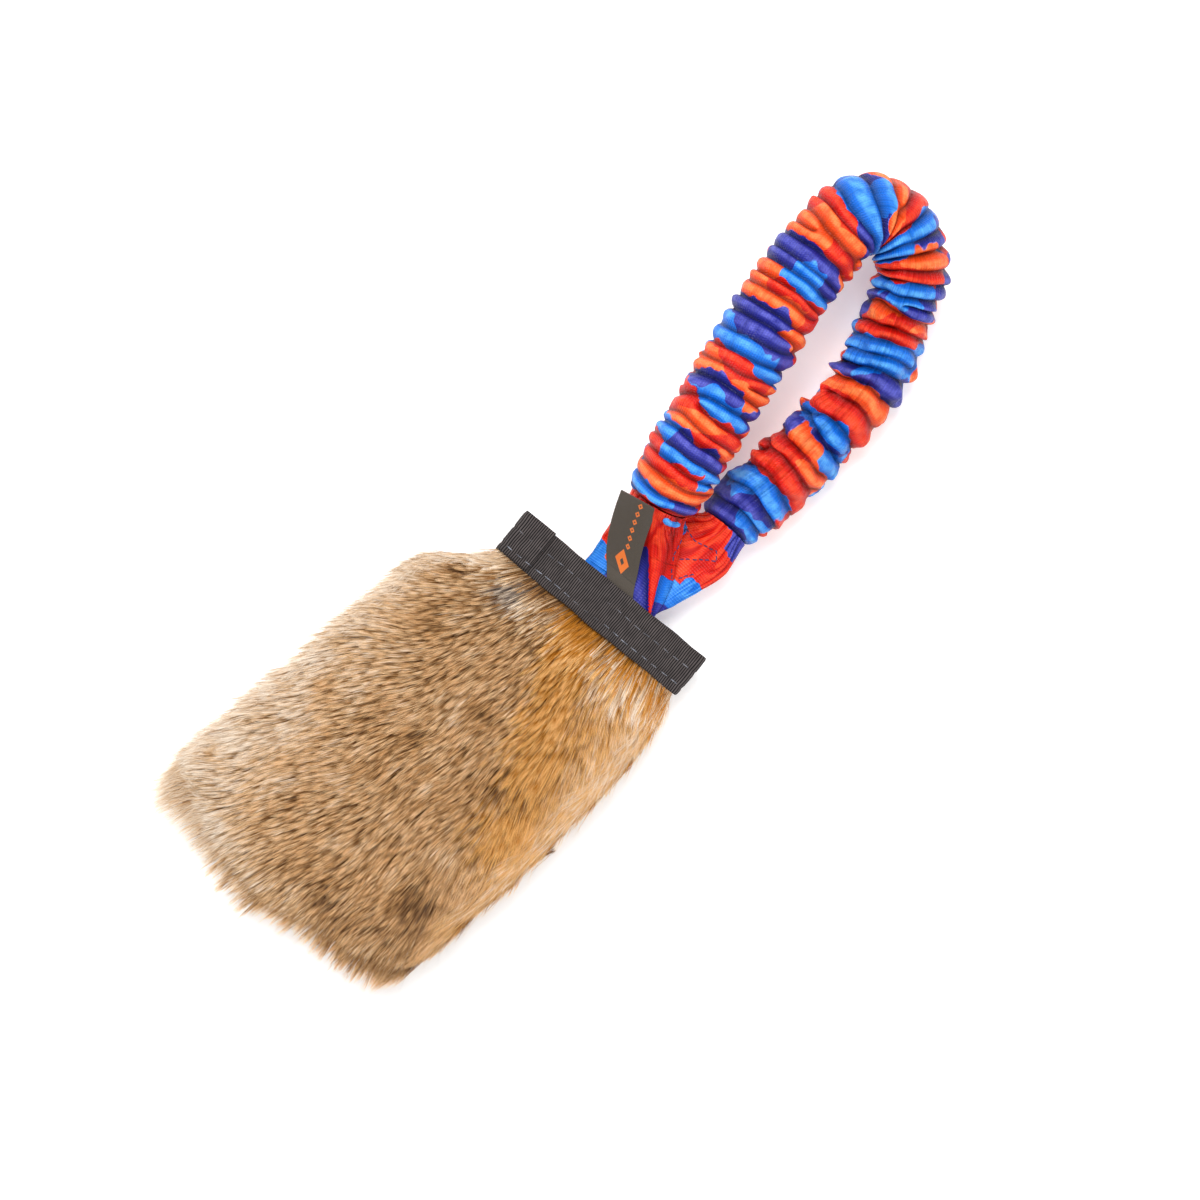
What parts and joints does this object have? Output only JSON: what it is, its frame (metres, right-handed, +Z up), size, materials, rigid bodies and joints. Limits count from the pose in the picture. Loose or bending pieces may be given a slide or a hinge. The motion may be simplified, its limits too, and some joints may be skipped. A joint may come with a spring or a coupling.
{
  "type": "bungee tug toy",
  "caption": "Dog tug toy: a fur pad sewn into a webbing band, with a gathered fabric sleeve over a bungee that makes a stretching hand loop.",
  "frame": {"origin": "on the floor, in the flat under the fur pad, 100 mm from the middle line of the webbing band", "axes": "+Y runs from the fur pad through the band to the hand loop, +Z up from the floor, +X to the right seen from above"},
  "size_m": [0.153, 0.4106, 0.0573],
  "materials": {
    "webbing": "ribbed black polyester webbing",
    "hide": "soft tanned skin side",
    "fur": "brown banded rabbit fur",
    "knit": "satin knit printed with orange, red, blue and navy patches",
    "bungee": "braided elastic cord",
    "label": "dark woven label"
  },
  "bodies": {
    "band": {"webbing_band": "webbing", "front_hide_edge": "hide", "back_hide_edge": "hide", "front_tail_end": "knit", "back_tail_end": "knit", "label_root": "label"},
    "pad": {"front_pelt": "fur", "back_pelt": "fur"},
    "neck": {"front_tail": "knit", "back_tail": "knit", "sleeve_front_leg": "knit", "sleeve_back_leg": "knit", "cord_front_leg": "bungee", "cord_back_leg": "bungee"},
    "crown": {"sleeve_crown": "knit", "cord_crown": "bungee"},
    "label": {"label": "label"}
  },
  "joints": [
    {"name": "pad_fold", "type": "hinge", "parent": "band", "child": "pad", "pos_m": [0, 0.08715, 0.0175], "axis": [1, 0, 0], "range_deg": [-40, 40]},
    {"name": "neck_fold", "type": "hinge", "parent": "band", "child": "neck", "pos_m": [0, 0.11205, 0.0175], "axis": [1, 0, 0], "range_deg": [-60, 60]},
    {"name": "bungee_stretch", "type": "slide", "parent": "neck", "child": "crown", "axis": [0, 1, 0], "range_m": [0, 0.09], "stiffness_N_per_m": 650, "deforming": ["sleeve_front_leg", "sleeve_back_leg", "cord_front_leg", "cord_back_leg"]},
    {"name": "label_flap", "type": "hinge", "parent": "neck", "child": "label", "pos_m": [0.0043, 0.115, 0.02045], "axis": [1, 0, 0], "range_deg": [0, 35]}
  ]
}
